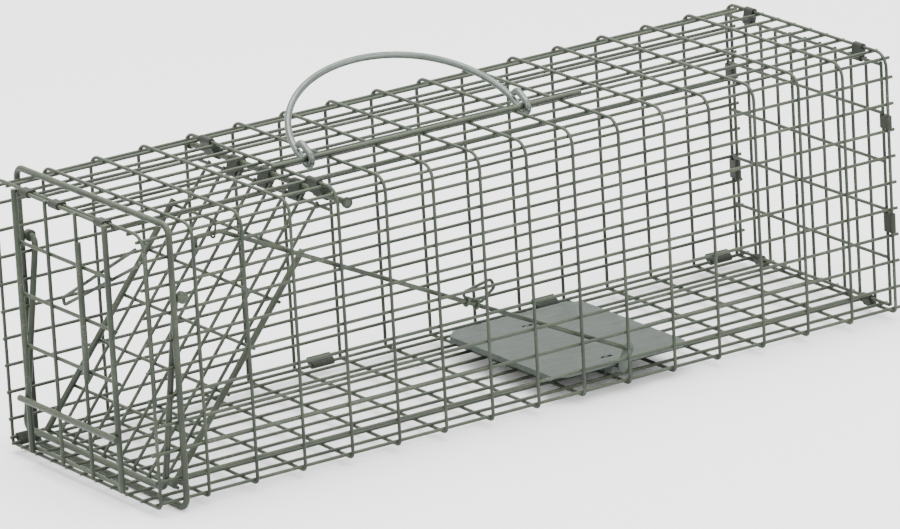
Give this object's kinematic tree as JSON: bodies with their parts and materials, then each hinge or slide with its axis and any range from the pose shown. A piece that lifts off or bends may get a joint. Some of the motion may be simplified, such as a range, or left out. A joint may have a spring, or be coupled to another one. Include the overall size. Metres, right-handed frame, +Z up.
{
  "type": "live_catch_trap",
  "caption": "Single-door live catch cage trap of welded wire mesh, with a sloping drop door, lock bar, trigger rod, treadle pan and carrying bail",
  "frame": {"origin": "centre of the ground under the cage, which stands on the lower bar of its front hoop and the foot of its rear mesh", "axes": "+X runs along the cage towards its fixed rear panel, +Y to the far side, +Z up; the door and mouth face -X"},
  "size_m": [0.4192, 0.1306, 0.1577],
  "materials": {
    "mesh_enamel": "satin",
    "rod_enamel": "satin",
    "clip_steel": "satin",
    "bare_steel": "satin",
    "galvanized_sheet": "satin"
  },
  "bodies": {
    "cage": {"floor_mesh": "mesh_enamel", "near_wall_mesh": "mesh_enamel", "far_wall_mesh": "mesh_enamel", "top_mesh": "mesh_enamel", "rear_panel_mesh": "mesh_enamel", "rear_panel_clips": "clip_steel", "seam_clips": "clip_steel", "front_hoop": "rod_enamel", "handle_rod": "rod_enamel", "door_hinge_rod": "rod_enamel", "hinge_rod_clips": "clip_steel", "hinge_rod_collars": "clip_steel", "lock_pivot_eyes": "rod_enamel", "trigger_hanger": "clip_steel", "pan_pivot_straps": "galvanized_sheet"},
    "door": {"door_mesh": "mesh_enamel", "door_side_rod_near": "rod_enamel", "door_side_rod_far": "rod_enamel", "door_hinge_loops": "clip_steel"},
    "flap": {"flap_mesh": "mesh_enamel", "flap_hinge_clips": "clip_steel", "flap_weight_rod": "rod_enamel", "flap_weight_bar": "rod_enamel", "flap_stay": "mesh_enamel"},
    "lock": {"lock_bar": "rod_enamel"},
    "trigger": {"trigger_rod": "rod_enamel", "finger_loop": "rod_enamel"},
    "pan": {"pan_plate": "galvanized_sheet", "pan_pivot_rod": "galvanized_sheet", "pan_crank": "galvanized_sheet"},
    "bail": {"handle": "bare_steel"}
  },
  "joints": [
    {"name": "door_swing", "type": "hinge", "parent": "cage", "child": "door", "pos_m": [-0.09535, 0, 0.1229], "axis": [0, 1, 0], "range_deg": [0, 50]},
    {"name": "lock_bar_swing", "type": "hinge", "parent": "cage", "child": "lock", "pos_m": [-0.18379, 0, 0.09855], "axis": [0, 1, 0], "range_deg": [0, 112]},
    {"name": "flap_swing", "type": "hinge", "parent": "cage", "child": "flap", "pos_m": [-0.20075, 0, 0.1295], "axis": [0, 1, 0], "range_deg": [0, 102]},
    {"name": "pan_tilt", "type": "hinge", "parent": "cage", "child": "pan", "pos_m": [0.05325, 0, 0.0107], "axis": [0, -1, 0], "range_deg": [0, 5]},
    {"name": "trigger_slide", "type": "slide", "parent": "cage", "child": "trigger", "axis": [-0.9018, 0, 0.4321], "range_m": [0, 0.0009]},
    {"name": "handle_fold", "type": "hinge", "parent": "cage", "child": "bail", "pos_m": [-0.02675, -0.01905, 0.13155], "axis": [1, 0, 0], "range_deg": [-5, 125]}
  ],
  "couplings": [
    {"joint": "lock_bar_swing", "follows": "door_swing", "ratio": 2},
    {"joint": "flap_swing", "follows": "door_swing", "ratio": 2},
    {"joint": "trigger_slide", "follows": "pan_tilt", "m_per_rad": 0.009}
  ]
}
